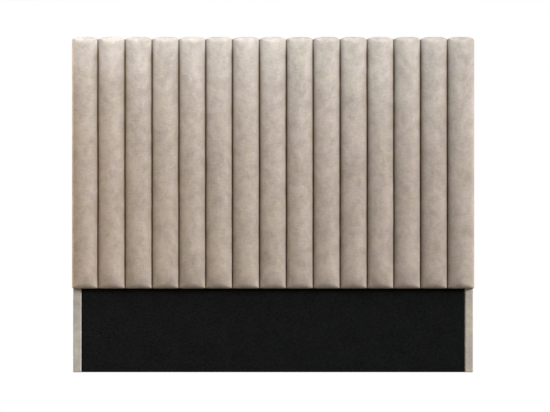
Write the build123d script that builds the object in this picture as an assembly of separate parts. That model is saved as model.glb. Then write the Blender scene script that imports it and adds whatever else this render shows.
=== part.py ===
from build123d import *
from math import asin, cos, pi, sin
import os

# Floor-standing upholstered headboard with vertical channels.
# Millimetres. X runs across the bed, Y from the bed towards the wall, Z up.
# The origin is on the floor, in the middle of the width and of the depth.

# Whole headboard
channel_count = 15
channel_pitch = 100.0
overall_height = 1250.0
cushion_base = 314.0

# Sheet goods, each in the order met from the wall towards the bed
back_cloth_thickness = 0.8
velvet_thickness = 1.3
board_thickness = 5.0
black_cloth_thickness = 0.8

# Timber frame of planed studwork set on edge
timber_depth = 63.0
timber_width = 38.0
upper_stud_count = 3
lower_stud_count = 3

# Padding
foam_depth = 28.3
foam_clearance = 0.3
top_padding_depth = 10.4
side_padding_depth = 3.5

# Shape of a channel: how far it falls to its seams and where its arcs meet
front_fall_share = 0.6
front_crown_width_share = 0.76
front_crown_fall_share = 0.35
top_fall_share = 0.7
top_crown_width_share = 0.72
top_crown_fall_share = 0.29
top_roll_share = 0.84
bottom_roll_share = 0.77
bottom_roll_turn_share = 0.95
back_roll_radius = 9.0

# Velvet turned onto the back of the frame, as a share of the timber's width
flap_share = 0.9

# Velvet wrapping of the two feet
foot_face_width = 31.0

# Cloths
back_cloth_margin = 6.0
black_cloth_turn = 40.0

# Glue blocks in the corners of the frame
block_leg = 70.0
block_tip = 12.0
block_depth = 40.0

# Stub tenons at both ends of each rail and stud
tenon_length = 13.0
tenon_width = 12.0
tenon_depth = 40.0
tenon_clearance = 0.1

# Staples that hold the boards on the timber, driven flush
board_staple_crown = 12.0
board_staple_leg = 20.0
board_staple_wire = 1.2
staples_per_bay = 1
staples_per_upper_upright = 2
staples_per_lower_upright = 1

# Staples that hold the velvet flaps and the back cloth, driven flush with the cloth
back_staple_crown = 10.0
back_staple_leg = 10.0
back_staple_wire = 0.6
back_staple_inset = 8.0
back_staples_along_side = 4
back_staples_along_bottom = 7

staple_clearance = 0.05
overrun = 10.0
quarter_turn = pi / 2

# Depth stack, from the wall to the bed
crown_height = foam_depth + foam_clearance + velvet_thickness
overall_depth = back_cloth_thickness + velvet_thickness + timber_depth + board_thickness + crown_height
back_y = overall_depth / 2
flap_back = back_y - back_cloth_thickness
timber_back = flap_back - velvet_thickness
timber_front = timber_back - timber_depth
timber_middle = (timber_back + timber_front) / 2
board_front = timber_front - board_thickness
cushion_front = board_front - crown_height

# Widths, from the middle outwards
overall_width = channel_count * channel_pitch
half_width = overall_width / 2
half_channel = channel_pitch / 2
frame_half = half_width - velvet_thickness - side_padding_depth
foot_half = frame_half + velvet_thickness
foot_inner = foot_half - foot_face_width
rail_half = frame_half - timber_width
flap_inner = frame_half - flap_share * timber_width

# Heights, from the floor up
frame_base = velvet_thickness
slit_top = cushion_base + velvet_thickness
top_build_up = top_padding_depth + foam_clearance + velvet_thickness
frame_top = overall_height - top_build_up
flap_base = frame_top - flap_share * timber_width
middle_rail_base = cushion_base + velvet_thickness / 2 - timber_width / 2
top_rail_base = frame_top - timber_width

# Clear heights of the frame's two fields
upper_span = (middle_rail_base + timber_width, top_rail_base)
lower_span = (frame_base + timber_width, middle_rail_base)

# Falls and rolls of the channels
front_fall = front_fall_share * crown_height
top_fall = top_fall_share * top_build_up
top_roll_radius = top_roll_share * crown_height
bottom_roll_radius = bottom_roll_share * crown_height


def save(node, shape):
    export_step(shape, f"parts/{node}.step")


def block(x_low, x_high, y_low, y_high, z_low, z_high):
    """A rectangular block between two values on each axis."""
    size = (x_high - x_low, y_high - y_low, z_high - z_low)
    middle = ((x_low + x_high) / 2, (y_low + y_high) / 2, (z_low + z_high) / 2)
    return Pos(*middle) * Box(*size)


def evenly(low, high, count):
    """Places that divide the way from low to high into equal bays."""
    return [low + (high - low) * (number + 1) / (count + 1) for number in range(count)]


def joined(solids):
    """Separate solids held together as one group."""
    return Compound(list(solids))


# Arcs of a channel


def arc(centre, radius, start, end):
    """An arc whose angles are measured from the outward direction, towards positive across."""
    points = []
    for angle in (start, (start + end) / 2, end):
        points.append((centre[0] + radius * sin(angle), centre[1] + radius * cos(angle)))
    return ThreePointArc(*points)


def arch(middle, top, fall, crown_width_share, crown_fall_share, inset, reach_low, reach_high):
    """Flank, crown and flank of one channel, tangent to each other, inset below its outer face."""
    crown_half = crown_width_share * half_channel
    crown_fall = crown_fall_share * fall
    crown_radius = (crown_half**2 + crown_fall**2) / (2 * crown_fall)
    lean = asin(crown_half / crown_radius)
    run = half_channel - crown_half
    drop = fall - crown_fall
    flank_radius = (run**2 + drop**2) / (2 * (drop * cos(lean) - run * sin(lean)))
    flank_across = crown_half - flank_radius * sin(lean)
    flank_level = top - crown_fall - flank_radius * cos(lean)
    low_end = asin((reach_low - flank_across) / (flank_radius - inset))
    high_end = asin((reach_high - flank_across) / (flank_radius - inset))
    low_centre = (middle - flank_across, flank_level)
    high_centre = (middle + flank_across, flank_level)
    return [
        arc(low_centre, flank_radius - inset, -low_end, -lean),
        arc((middle, top - crown_radius), crown_radius - inset, -lean, lean),
        arc(high_centre, flank_radius - inset, lean, high_end),
    ]


def front_arch(middle, inset, reach_low, reach_high):
    shares = (front_crown_width_share, front_crown_fall_share)
    return arch(middle, crown_height, front_fall, *shares, inset, reach_low, reach_high)


def top_arch(middle, inset, reach_low, reach_high):
    shares = (top_crown_width_share, top_crown_fall_share)
    return arch(middle, overall_height, top_fall, *shares, inset, reach_low, reach_high)


def closed_face(edges, corners):
    """A face bounded by a run of edges, closed through the given corners."""
    stops = [edges[-1] @ 1, *corners, edges[0] @ 0]
    lines = [Line(start, end) for start, end in zip(stops, stops[1:])]
    return make_face(edges + lines)


# Solids that one channel is cut from


def plan_solid(inset, back, reach_low, reach_high):
    """The channel seen from above, drawn up through the full height."""
    edges = front_arch(0, inset, reach_low, reach_high)
    depth = board_front - back
    face = closed_face(edges, [(reach_high, depth), (-reach_low, depth)])
    upright = Plane(origin=(0, board_front, 0), x_dir=(1, 0, 0), z_dir=(0, 0, -1))
    return extrude(upright * face, -overall_height)


def front_solid(inset, back, reach_low, reach_high):
    """The channel seen from the front, with the falls of its top edge, drawn through the depth."""
    edges = top_arch(0, inset, reach_low, reach_high)
    face = closed_face(edges, [(reach_high, 0), (-reach_low, 0)])
    wall_side = Plane(origin=(0, back, 0), x_dir=(1, 0, 0), z_dir=(0, -1, 0))
    return extrude(wall_side * face, overall_depth)


def back_roll(inset):
    """The roll of the top edge on the wall side, inset below the outer face."""
    centre = (flap_back - back_roll_radius, overall_height - back_roll_radius)
    return arc(centre, back_roll_radius - inset, 0, quarter_turn)


def side_solid(inset, base, back):
    """The channel seen from the side: rolled over at the top, rolled under at the bottom."""
    front = cushion_front + inset
    top = overall_height - inset
    top_radius = top_roll_radius - inset
    top_centre = (cushion_front + top_roll_radius, overall_height - top_roll_radius)
    roll_height = bottom_roll_turn_share * bottom_roll_radius
    roll_centre = (cushion_front + bottom_roll_radius, cushion_base + roll_height)
    roll_radius = bottom_roll_radius - inset
    roll_turn = asin((roll_centre[1] - base) / roll_radius)
    edges = [
        arc(roll_centre, roll_radius, -quarter_turn - roll_turn, -quarter_turn),
        Line((front, roll_centre[1]), (front, top_centre[1])),
        arc(top_centre, top_radius, -quarter_turn, 0),
    ]
    corners = [(back, top), (back, base)]
    if back > timber_front:
        roll = back_roll(inset)
        edges += [Line(edges[-1] @ 1, roll @ 0), roll]
        corners = [(back, base)]
    face = closed_face(edges, corners)
    return extrude(Plane.YZ * face, half_channel, both=True)


def channel_form(inset, base, back, reach_low, reach_high):
    """One channel, inset below its outer face and closed by its base, back and side planes."""
    solid = side_solid(inset, base, back) & plan_solid(inset, back, reach_low, reach_high)
    return solid & front_solid(inset, back, reach_low, reach_high)


# Velvet and foam


def rear_hollow(reach_low, reach_high):
    """The room behind the foam that the frame, the boards and the top and side padding take."""
    roll = back_roll(velvet_thickness)
    ceiling = Line((board_front, overall_height - velvet_thickness), roll @ 0)
    face = closed_face([ceiling, roll], [(timber_back, slit_top), (board_front, slit_top)])
    room = extrude(Plane.YZ * face, half_channel, both=True)
    return room & front_solid(velvet_thickness, timber_back, reach_low, reach_high)


def cover_panel(middle, outer_low, outer_high):
    """One velvet channel, with its seam allowances, its turn-under and its flap on the back."""
    wall = half_channel - velvet_thickness
    outside = channel_form(0, cushion_base, flap_back, half_channel, half_channel)
    hollow = channel_form(velvet_thickness, slit_top, board_front, wall, wall)
    rear = rear_hollow(wall if outer_low else half_channel, wall if outer_high else half_channel)
    panel = Pos(middle, 0, 0) * (outside - hollow - rear)
    under = block(-frame_half, frame_half, timber_front, timber_back, cushion_base - overrun, slit_top)
    behind = block(-flap_inner, flap_inner, timber_back, back_y, 0, flap_base)
    return panel - under - behind


def foam_strip():
    """The foam of one channel: crowned in front, drawn in at both seams, rolled at both ends."""
    inset = velvet_thickness + foam_clearance
    reach = half_channel - inset
    return channel_form(inset, slit_top, board_front, reach, reach)


def top_padding():
    """One strip on top of the frame, pressed into the channels' falls by the velvet."""
    inset = velvet_thickness + foam_clearance
    edges = []
    for number, middle in enumerate(channel_middles):
        reach_low = half_channel - inset if number == 0 else half_channel
        reach_high = half_channel - inset if number == channel_count - 1 else half_channel
        edges += top_arch(middle, inset, reach_low, reach_high)
    end = half_width - inset
    face = closed_face(edges, [(end, frame_top), (-end, frame_top)])
    wall_side = Plane(origin=(0, timber_back, 0), x_dir=(1, 0, 0), z_dir=(0, -1, 0))
    strip = extrude(wall_side * face, timber_back - board_front)
    roll = back_roll(inset)
    corners = [(back_y, (roll @ 1).Y), (back_y, overall_height), ((roll @ 0).X, overall_height)]
    waste = closed_face([roll], corners)
    return strip - extrude(Plane.YZ * waste, half_width, both=True)


def side_padding(side):
    low, high = sorted((side * frame_half, side * (frame_half + side_padding_depth)))
    return block(low, high, board_front, timber_back, slit_top, frame_top)


def foot_wrap(side):
    """Velvet round the front, the outer side, the back and the underside of a foot."""
    low, high = sorted((side * foot_inner, side * foot_half))
    outside = block(low, high, board_front - velvet_thickness, flap_back, 0, cushion_base)
    corner_x = side * foot_half
    outer_edges = [edge for edge in outside.edges() if abs(edge.center().X - corner_x) < velvet_thickness]
    outside = fillet(edges_below(outer_edges, cushion_base), velvet_thickness)
    inner_low, inner_high = sorted((side * (foot_inner - overrun), side * frame_half))
    inside = block(inner_low, inner_high, board_front, timber_back, frame_base, cushion_base + overrun)
    return outside - inside


def edges_below(edges, height):
    """Those edges that do not lie wholly at the given height."""
    return [edge for edge in edges if edge.bounding_box().min.Z < height - velvet_thickness]


def black_cloth():
    """Cloth stretched over the lower board and turned under the bottom rail."""
    front = board_front - black_cloth_thickness
    under = frame_base - black_cloth_thickness
    turned_to = board_front + black_cloth_turn
    outside = block(-foot_inner, foot_inner, front, turned_to, under, cushion_base)
    inside_to = timber_back + overrun
    inside = block(-foot_half, foot_half, board_front, inside_to, frame_base, cushion_base + overrun)
    return outside - inside


def back_cloth():
    edge = frame_half - back_cloth_margin
    low = frame_base + back_cloth_margin
    high = frame_top - back_cloth_margin
    return block(-edge, edge, flap_back, back_y, low, high)


# Frame


def staple(crown, leg, wire, spare, proud):
    """A staple driven along -Y, its crown along X; spare and proud make the pocket that it leaves."""
    half = crown / 2 + spare
    inner = crown / 2 - wire - spare
    under = -wire - spare
    tip = -leg - spare
    outline = Polyline(
        (-half, proud),
        (half, proud),
        (half, tip),
        (inner, tip),
        (inner, under),
        (-inner, under),
        (-inner, tip),
        (-half, tip),
        close=True,
    )
    return extrude(make_face(outline), wire / 2 + spare, both=True)


def flat_staple_plane(across, depth, height, outward):
    """The plane of a staple whose crown lies along X on a face that looks towards outward on Y."""
    return Plane(origin=(across, depth, height), x_dir=(1, 0, 0), z_dir=(0, 0, outward))


def upright_staple_plane(across, depth, height, outward):
    """The plane of a staple whose crown stands along Z on a face that looks towards outward on Y."""
    return Plane(origin=(across, depth, height), x_dir=(0, 0, 1), z_dir=(-outward, 0, 0))


def board_staple_planes():
    """Along the rails, between the studs, and up the studs and stiles."""
    quarter = timber_width / 4
    slit = middle_rail_base + timber_width / 2
    upper_rows = (slit + quarter, top_rail_base + timber_width / 2)
    lower_rows = (frame_base + timber_width / 2, slit - quarter)
    stile_middle = rail_half + timber_width / 2
    fields = (
        (upper_rows, upper_stud_middles, upper_span, staples_per_upper_upright),
        (lower_rows, lower_stud_middles, lower_span, staples_per_lower_upright),
    )
    planes = []
    for rows, studs, span, per_upright in fields:
        stops = [-rail_half, *studs, rail_half]
        for low, high in zip(stops, stops[1:]):
            for across in evenly(low, high, staples_per_bay):
                planes += [flat_staple_plane(across, board_front, row, -1) for row in rows]
        for across in (-stile_middle, *studs, stile_middle):
            heights = evenly(*span, per_upright)
            planes += [upright_staple_plane(across, board_front, height, -1) for height in heights]
    return planes


def back_staple_planes():
    """One in each channel's flap along the top, and rows down the sides and along the bottom."""
    reach = frame_half - back_cloth_margin - back_staple_inset
    low = frame_base + back_cloth_margin + back_staple_inset
    high = frame_top - back_cloth_margin - back_staple_inset
    planes = [flat_staple_plane(across, back_y, high, 1) for across in channel_middles]
    for across in evenly(-reach, reach, back_staples_along_bottom):
        planes.append(flat_staple_plane(across, back_y, low, 1))
    for height in evenly(low, high, back_staples_along_side):
        for across in (-reach, reach):
            planes.append(upright_staple_plane(across, back_y, height, 1))
    return planes


def corner_block(across, along, x_turn, z_turn):
    """A triangular block with blunt tips, glued into a corner of the frame."""
    points = [
        (across, along),
        (across + x_turn * block_leg, along),
        (across + x_turn * block_leg, along + z_turn * block_tip),
        (across + x_turn * block_tip, along + z_turn * block_leg),
        (across, along + z_turn * block_leg),
    ]
    face = make_face(Polyline(*points, close=True))
    upright = Plane(origin=(0, timber_middle, 0), x_dir=(1, 0, 0), z_dir=(0, -1, 0))
    return extrude(upright * face, block_depth / 2, both=True)


def corner_blocks():
    blocks = []
    for low, high in (lower_span, upper_span):
        for side in (-1, 1):
            blocks.append(corner_block(side * rail_half, low, -side, 1))
            blocks.append(corner_block(side * rail_half, high, -side, -1))
    return joined(blocks)


def stud(middle, low, high, spare):
    """A stud with a stub tenon at both ends, which with spare on its tenons cuts their mortises."""
    half = timber_width / 2
    half_tenon = tenon_width / 2 + spare
    half_depth = tenon_depth / 2 + spare
    length = tenon_length + spare
    tenons = block(
        middle - half_tenon,
        middle + half_tenon,
        timber_middle - half_depth,
        timber_middle + half_depth,
        low - length,
        high + length,
    )
    return tenons + block(middle - half, middle + half, timber_front, timber_back, low, high)


def rail(base, spare):
    """A rail with a stub tenon at both ends, which with spare on its tenons cuts their mortises."""
    middle = base + timber_width / 2
    half_tenon = tenon_width / 2 + spare
    half_depth = tenon_depth / 2 + spare
    reach = rail_half + tenon_length + spare
    tenons = block(
        -reach,
        reach,
        timber_middle - half_depth,
        timber_middle + half_depth,
        middle - half_tenon,
        middle + half_tenon,
    )
    return tenons + block(-rail_half, rail_half, timber_front, timber_back, base, base + timber_width)


def stile(side):
    low, high = sorted((side * rail_half, side * frame_half))
    return block(low, high, timber_front, timber_back, frame_base, frame_top)


channel_middles = [-half_width + (number + 0.5) * channel_pitch for number in range(channel_count)]
upper_stud_middles = evenly(-rail_half, rail_half, upper_stud_count)
lower_stud_middles = evenly(-rail_half, rail_half, lower_stud_count)

stud_places = {}
for number, middle in enumerate(upper_stud_middles, 1):
    stud_places[f"upper_stud_{number}"] = (middle, *upper_span)
for number, middle in enumerate(lower_stud_middles, 1):
    stud_places[f"lower_stud_{number}"] = (middle, *lower_span)

rail_bases = {"bottom_rail": frame_base, "middle_rail": middle_rail_base, "top_rail": top_rail_base}

# Shapes with clearance, which cut the mortises and the pockets of the staples
stud_mortises = [stud(*place, tenon_clearance) for place in stud_places.values()]
rail_mortises = [rail(base, tenon_clearance) for base in rail_bases.values()]

board_staple_sizes = (board_staple_crown, board_staple_leg, board_staple_wire)
board_staples = [plane * staple(*board_staple_sizes, 0, 0) for plane in board_staple_planes()]
board_pocket = staple(*board_staple_sizes, staple_clearance, overrun)
board_pockets = [plane * board_pocket for plane in board_staple_planes()]

back_staple_sizes = (back_staple_crown, back_staple_leg, back_staple_wire)
back_staples = [plane * staple(*back_staple_sizes, 0, 0) for plane in back_staple_planes()]
back_pocket = staple(*back_staple_sizes, staple_clearance, overrun)
back_pockets = [plane * back_pocket for plane in back_staple_planes()]


def cut(solid, cutters):
    """The solid without those cutters that reach it."""
    box = solid.bounding_box()
    near = [cutter for cutter in cutters if box.overlaps(cutter.bounding_box())]
    return solid - near if near else solid


os.makedirs("parts", exist_ok=True)

save("board_staples", joined(board_staples))
save("back_staples", joined(back_staples))
save("corner_blocks", corner_blocks())

for side, name in ((-1, "left"), (1, "right")):
    save(f"{name}_stile", cut(stile(side), rail_mortises + board_pockets + back_pockets))
    save(f"{name}_foot_velvet", cut(foot_wrap(side), back_pockets))
    save(f"{name}_side_padding", side_padding(side))

for name, base in rail_bases.items():
    save(name, cut(rail(base, 0), stud_mortises + board_pockets + back_pockets))

for name, place in stud_places.items():
    save(name, cut(stud(*place, 0), board_pockets))

face_board = block(-frame_half, frame_half, board_front, timber_front, slit_top, frame_top)
lower_board = block(-frame_half, frame_half, board_front, timber_front, frame_base, cushion_base)
save("face_board", cut(face_board, board_pockets))
save("lower_board", cut(lower_board, board_pockets))
save("black_cloth", black_cloth())
save("back_cloth", cut(back_cloth(), back_pockets))
save("top_padding", top_padding())

foam = foam_strip()
for number, middle in enumerate(channel_middles, 1):
    cover = cover_panel(middle, number == 1, number == channel_count)
    save(f"velvet_channel_{number:02d}", cut(cover, back_pockets))
    save(f"foam_channel_{number:02d}", Pos(middle, 0, 0) * foam)
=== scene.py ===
import math

import bmesh
import bpy
import numpy as np
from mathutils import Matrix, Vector, noise


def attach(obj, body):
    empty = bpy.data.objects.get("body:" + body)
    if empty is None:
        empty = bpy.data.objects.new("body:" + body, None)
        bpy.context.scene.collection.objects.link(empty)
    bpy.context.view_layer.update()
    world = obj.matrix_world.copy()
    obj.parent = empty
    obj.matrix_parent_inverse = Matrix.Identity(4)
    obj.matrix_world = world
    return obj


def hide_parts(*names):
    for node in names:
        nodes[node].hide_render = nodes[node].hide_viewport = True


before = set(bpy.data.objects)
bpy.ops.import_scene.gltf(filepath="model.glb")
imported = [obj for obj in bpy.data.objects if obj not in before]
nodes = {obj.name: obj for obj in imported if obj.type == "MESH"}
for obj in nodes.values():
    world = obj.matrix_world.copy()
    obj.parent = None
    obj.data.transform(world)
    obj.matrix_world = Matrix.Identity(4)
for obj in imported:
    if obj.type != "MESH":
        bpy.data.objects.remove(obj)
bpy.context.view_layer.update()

# An upholstered headboard: fifteen vertical velvet channels over a plain black cloth panel between two
# wrapped feet. Metres. X across the bed, Y from the bed towards the wall, Z up.

# Sizes, as the headboard is cut and built

CHANNELS = 15
PITCH = 0.100
HALF_WIDTH = 0.750
HEIGHT = 1.250
CUSHION_BASE = 0.314

# Depths of faces, from the front of the cushion to the outside of the flaps behind
FRONT = -0.0500
FACE_BOARD = -0.0201
TIMBER_FRONT = -0.0151
TIMBER_BACK = 0.0479
FLAP_BACK = 0.0492

FRAME_TOP = 1.2380
FRAME_HALF = 0.7452
FRAME_BASE = 0.0013
FOOT_INNER = 0.7155
FOOT_HALF = 0.7465
FOOT_ROUND = 0.0028

VELVET = 0.0013
PANEL_CLOTH = 0.0008
PANEL_TURN_UNDER = 0.040
WADDING = 0.0032
CLEAR = 0.0003
HAIR = 0.00002
SEAM_GAP = 0.00015
BACK_MARGIN = 0.006
SIDE_TURN_UNDER = 0.006
SIDE_FLAP_FROM = 0.016
STAPLE_IN = 0.008

# The form of a channel: its falls from the crown to a seam, and the rounds of its edges
FRONT_FALL = 0.01794
TOP_FALL = 0.0084
TOP_ROLL = 0.0251
BOTTOM_ROLL = 0.0230
BOTTOM_ROLL_HEIGHT = 0.0219
BACK_ROLL = 0.0090
TIGHT_ROLL = 0.0040

# How far the velvet strays from that form
SLACK = 0.0010
TOP_LOFT = 0.0016
LOW_LOFT = 0.0016
LEAN = 0.0004
SLOW_WANDER = 0.0006
QUICK_WANDER = 0.0002

# Off a channel's middle, where the crown starts to give way and where it has; off a seam, where the stitches
# hold the velvet and where they no longer do
CROWN_ENDS = (0.030, 0.049)
STITCHES_HOLD = (0.0006, 0.0070)

# Painted shade by the seams, for the shade in the grooves: its reach over the flanks beside it, what the
# first and the last channels add to it where the light from the side falls off, the heights over which it
# fades out towards both ends, and the height up to which a painted shade lies low on the crown, for the light
# from above
RIGHT_FLANK_SHADE = 0.0088
LEFT_FLANK_SHADE = 0.0046
FIRST_MORE = 0.0028
LAST_MORE = 0.0060
SHADE_FADES_BELOW_TOP = 0.055
SHADE_FADES_ABOVE_BASE = 0.045
LOW_SHADE_REACH = 0.070

# How far the upholsterer has set each seam to the side of its even place, from the left end to the right
SEAM_DRIFT = (
    0.0, -0.0028, -0.0020, -0.0010, -0.0011, -0.0011, -0.0016, -0.0008,
    -0.0006, -0.0007, 0.0, 0.0009, 0.0, -0.0005, -0.0004, 0.0,
)

# Distances from a channel's middle at which its velvet is laid out, closer towards the seams
ACROSS = (0.0, 0.008, 0.016, 0.024, 0.031, 0.037, 0.0405, 0.0435, 0.046, 0.0478, 0.0491, 0.05 - SEAM_GAP)
OFFSETS = [-a for a in reversed(ACROSS[1:])] + list(ACROSS)

# Rows along a channel: the flap behind, the roll over the back edge, the top, the roll over the front edge,
# the front, the roll under the lower edge and the turn-under
FLAP_ROWS = 4
ROLL_ROWS = 8
TOP_ROWS = 8
FRONT_ROWS = 83
UNDER_ROWS = 3
FLAP_END = FLAP_ROWS - 1
BACK_ROLL_END = FLAP_END + ROLL_ROWS
TOP_END = BACK_ROLL_END + TOP_ROWS - 1
FRONT_START = TOP_END + ROLL_ROWS
FRONT_END = FRONT_START + FRONT_ROWS - 1
UNDER_START = FRONT_END + ROLL_ROWS
ROW_STEP = (HEIGHT - TOP_FALL - TIGHT_ROLL - CUSHION_BASE - TIGHT_ROLL) / (FRONT_ROWS - 1)
FLAP_BASE = HEIGHT - TOP_FALL - TIGHT_ROLL - (FLAP_ROWS - 1) * ROW_STEP

SIM_FRAMES = 20


# Camera: square on, from far away, level with the middle of the headboard's height

camera_data = bpy.data.cameras.new("camera")
camera_data.sensor_width = 36
camera_data.lens = 193.4
camera_data.clip_start = 0.1
camera_data.clip_end = 100
camera = bpy.data.objects.new("camera", camera_data)
bpy.context.scene.collection.objects.link(camera)
camera.location = (0.0071, FRONT - 11.0, 0.6208)
camera.rotation_euler = (math.radians(90), 0, 0)
bpy.context.scene.camera = camera


# Small makers of meshes


def piece(name, bm, material):
    """One piece of the headboard from a bmesh, in place, riding with the frame."""
    mesh = bpy.data.meshes.new(name)
    bm.to_mesh(mesh)
    bm.free()
    mesh.polygons.foreach_set("use_smooth", [True] * len(mesh.polygons))
    mesh.materials.append(material)
    mesh.uv_layers[0].name = "cloth"
    made = bpy.data.objects.new(name, mesh)
    bpy.context.scene.collection.objects.link(made)
    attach(made, "root")
    return made


def add_patch(bm, points, cloth_map=None, **values):
    """A grid of quads through a table of points, rows by columns, with its place on the cloth."""
    rows, columns = points.shape[:2]
    layer = bm.loops.layers.uv.verify()
    for name in ("fold", "loose"):
        if not bm.verts.layers.float.get(name):
            bm.verts.layers.float.new(name)
    corners = [[bm.verts.new(points[r, c]) for c in range(columns)] for r in range(rows)]
    for name, table in values.items():
        held = bm.verts.layers.float.get(name)
        for r in range(rows):
            for c in range(columns):
                corners[r][c][held] = table[r, c]
    for r in range(rows - 1):
        for c in range(columns - 1):
            places = ((r, c), (r, c + 1), (r + 1, c + 1), (r + 1, c))
            face = bm.faces.new([corners[row][column] for row, column in places])
            if cloth_map is not None:
                for loop, place in zip(face.loops, places):
                    loop[layer].uv = cloth_map[place]


def close_rim(bm, outer, inner):
    """Joins two patches of the same layout along their four edges."""
    for edge in (np.s_[0], np.s_[-1], np.s_[:, 0], np.s_[:, -1]):
        add_patch(bm, np.array([outer[edge], inner[edge]]))


def weld(bm):
    bmesh.ops.remove_doubles(bm, verts=bm.verts, dist=HAIR)
    bmesh.ops.recalc_face_normals(bm, faces=bm.faces)


def turn_outward(bm, in_front):
    """Turns all faces over where none of those in front looks to the front."""
    if not any(face.normal.y < -0.9 and in_front(face.calc_center_median()) for face in bm.faces):
        bmesh.ops.reverse_faces(bm, faces=bm.faces)


def thicken(made, thickness):
    cloth = made.modifiers.new("cloth", "SOLIDIFY")
    cloth.thickness = thickness
    cloth.offset = -1


def clamped(share):
    return min(max(share, 0), 1)


def smooth_share(value, start, end):
    """From 0 at the start to 1 at the end, without a kink."""
    share = clamped((value - start) / (end - start))
    return share * share * (3 - 2 * share)


def unevenness(place, seed, size):
    """A smooth wandering value from -1 to 1: the size is that of its waves, and each seed has its own."""
    return noise.noise(Vector((place[0] / size, place[1] / size, place[2] / size)) + Vector((seed, 0, 0)))


# The form of a channel


def channel_middle(number):
    return -HALF_WIDTH + (number - 0.5) * PITCH


def fall(across, drop, width_share, drop_share):
    """How far the crown and the flank of a channel have fallen at a distance from its middle."""
    half = PITCH / 2
    crown_half = width_share * half
    crown_drop = drop_share * drop
    crown_radius = (crown_half**2 + crown_drop**2) / (2 * crown_drop)
    lean = math.asin(crown_half / crown_radius)
    run = half - crown_half
    rest = drop - crown_drop
    flank_radius = (run**2 + rest**2) / (2 * (rest * math.cos(lean) - run * math.sin(lean)))
    flank_across = crown_half - flank_radius * math.sin(lean)
    flank_level = crown_drop + flank_radius * math.cos(lean)
    across = abs(across)
    if across <= crown_half:
        return crown_radius - math.sqrt(crown_radius**2 - across**2)
    return flank_level - math.sqrt(max(flank_radius**2 - (across - flank_across) ** 2, 0))


def front_fall(across):
    return fall(across, FRONT_FALL, 0.76, 0.35)


def top_fall(across):
    return fall(across, TOP_FALL, 0.72, 0.29)


def roll_radius(full, height, front_drop, top_drop):
    """The radius with which the velvet turns an edge where it lies so far below the crown."""
    out = math.hypot(full - front_drop, height - top_drop) - full
    return max(TIGHT_ROLL, out / (math.sqrt(2) - 1)) if front_drop < full else TIGHT_ROLL


def straight(start, end, rows):
    """Evenly spaced points from a start to an end."""
    shares = [row / (rows - 1) for row in range(rows)]
    return [tuple(s + (e - s) * share for s, e in zip(start, end)) for share in shares]


def roll(corner, radius, start, end):
    """The points between the ends of a rounded corner; the ends lie a radius off it in two directions."""
    points = []
    for row in range(1, ROLL_ROWS):
        turn = math.pi / 2 * row / ROLL_ROWS
        to_start, to_end = radius * (1 - math.sin(turn)), radius * (1 - math.cos(turn))
        points.append(tuple(c + s * to_start + e * to_end for c, s, e in zip(corner, start, end)))
    return points


def strand(across):
    """One line of the velvet, from the flap behind, over the top, down the front and under, as (y, z)."""
    front_drop = front_fall(across)
    top_drop = top_fall(across)
    front = FRONT + front_drop
    top = HEIGHT - top_drop
    back_radius = min(roll_radius(BACK_ROLL, BACK_ROLL, 0, top_drop), BACK_ROLL)
    top_radius = min(roll_radius(TOP_ROLL, TOP_ROLL, front_drop, top_drop), TOP_ROLL)
    low_radius = min(roll_radius(BOTTOM_ROLL, BOTTOM_ROLL_HEIGHT, front_drop, 0), BOTTOM_ROLL)
    points = straight((FLAP_BACK, FLAP_BASE), (FLAP_BACK, top - back_radius), FLAP_ROWS)
    points += roll((FLAP_BACK, top), back_radius, (0, -1), (-1, 0))
    points += straight((FLAP_BACK - back_radius, top), (front + top_radius, top), TOP_ROWS)
    points += roll((front, top), top_radius, (1, 0), (0, -1))
    points += straight((front, top - top_radius), (front, CUSHION_BASE + low_radius), FRONT_ROWS)
    points += roll((front, CUSHION_BASE), low_radius, (0, 1), (1, 0))
    points += straight((front + low_radius, CUSHION_BASE), (TIMBER_FRONT, CUSHION_BASE), UNDER_ROWS)
    return points


def seam_wander(seam, height):
    """How far a seam has been stitched to the side of its even place at a height."""
    if seam in (0, CHANNELS):
        return 0.0
    slow = SLOW_WANDER * unevenness((seam * 0.7, 0, height), 21.5, 0.17)
    quick = QUICK_WANDER * unevenness((seam * 0.7, 0, height), 2.5, 0.03)
    return SEAM_DRIFT[seam] + slow + quick


def running_length(points):
    """How far along a line each of its points lies."""
    return np.concatenate([[0], np.cumsum(np.linalg.norm(np.diff(points, axis=0), axis=1))])


def channel_net(number):
    """The velvet of one channel as a net of points, with its place on the cloth, both rows by columns."""
    lines = [strand(a) for a in OFFSETS]
    rows = len(lines[0])
    net = np.zeros((rows, len(OFFSETS), 3))
    for row in range(rows):
        height = lines[0][row][1]
        spread = clamped((row - TOP_END) / ROLL_ROWS) * clamped((UNDER_START - row) / ROLL_ROWS)
        left = seam_wander(number - 1, height) * spread
        right = seam_wander(number, height) * spread
        lean = LEAN * spread
        for column, (offset, line) in enumerate(zip(OFFSETS, lines)):
            y, z = line[row]
            near = offset / PITCH + 0.5
            x = channel_middle(number) + offset + left * (1 - near) ** 2 + right * near**2
            seam = number if offset > 0 else number - 1
            crown = 1 - smooth_share(abs(offset), *CROWN_ENDS)
            y -= lean * (1 + unevenness((number * 0.4 + near * 0.1, 0, height), 4.4, 0.11)) * crown
            y -= lean * (1 + unevenness((seam * 0.6, 0, height), 8.8, 0.06)) * (1 - crown)
            if row < FRONT_START:
                rise = smooth_share(row, FLAP_END, TOP_END)
                z += TOP_LOFT * rise * smooth_share(FRONT_START - row, 0, ROLL_ROWS - 2) * crown
            if row > FRONT_END:
                turned = (row - FRONT_END) / (ROLL_ROWS + 1)
                z -= LOW_LOFT * smooth_share(turned, 0, 0.5) * (1 - smooth_share(turned, 0.62, 1)) * crown
            net[row, column] = (x, y, z)
    along = running_length(net[:, len(OFFSETS) // 2])
    around = running_length(net[FRONT_START + 20])
    # Every channel is cut from another place on the cloth
    places = np.meshgrid(around + 0.37 * number, along + 0.23 * (number % 4))
    return net, np.stack(places, axis=2)


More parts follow.
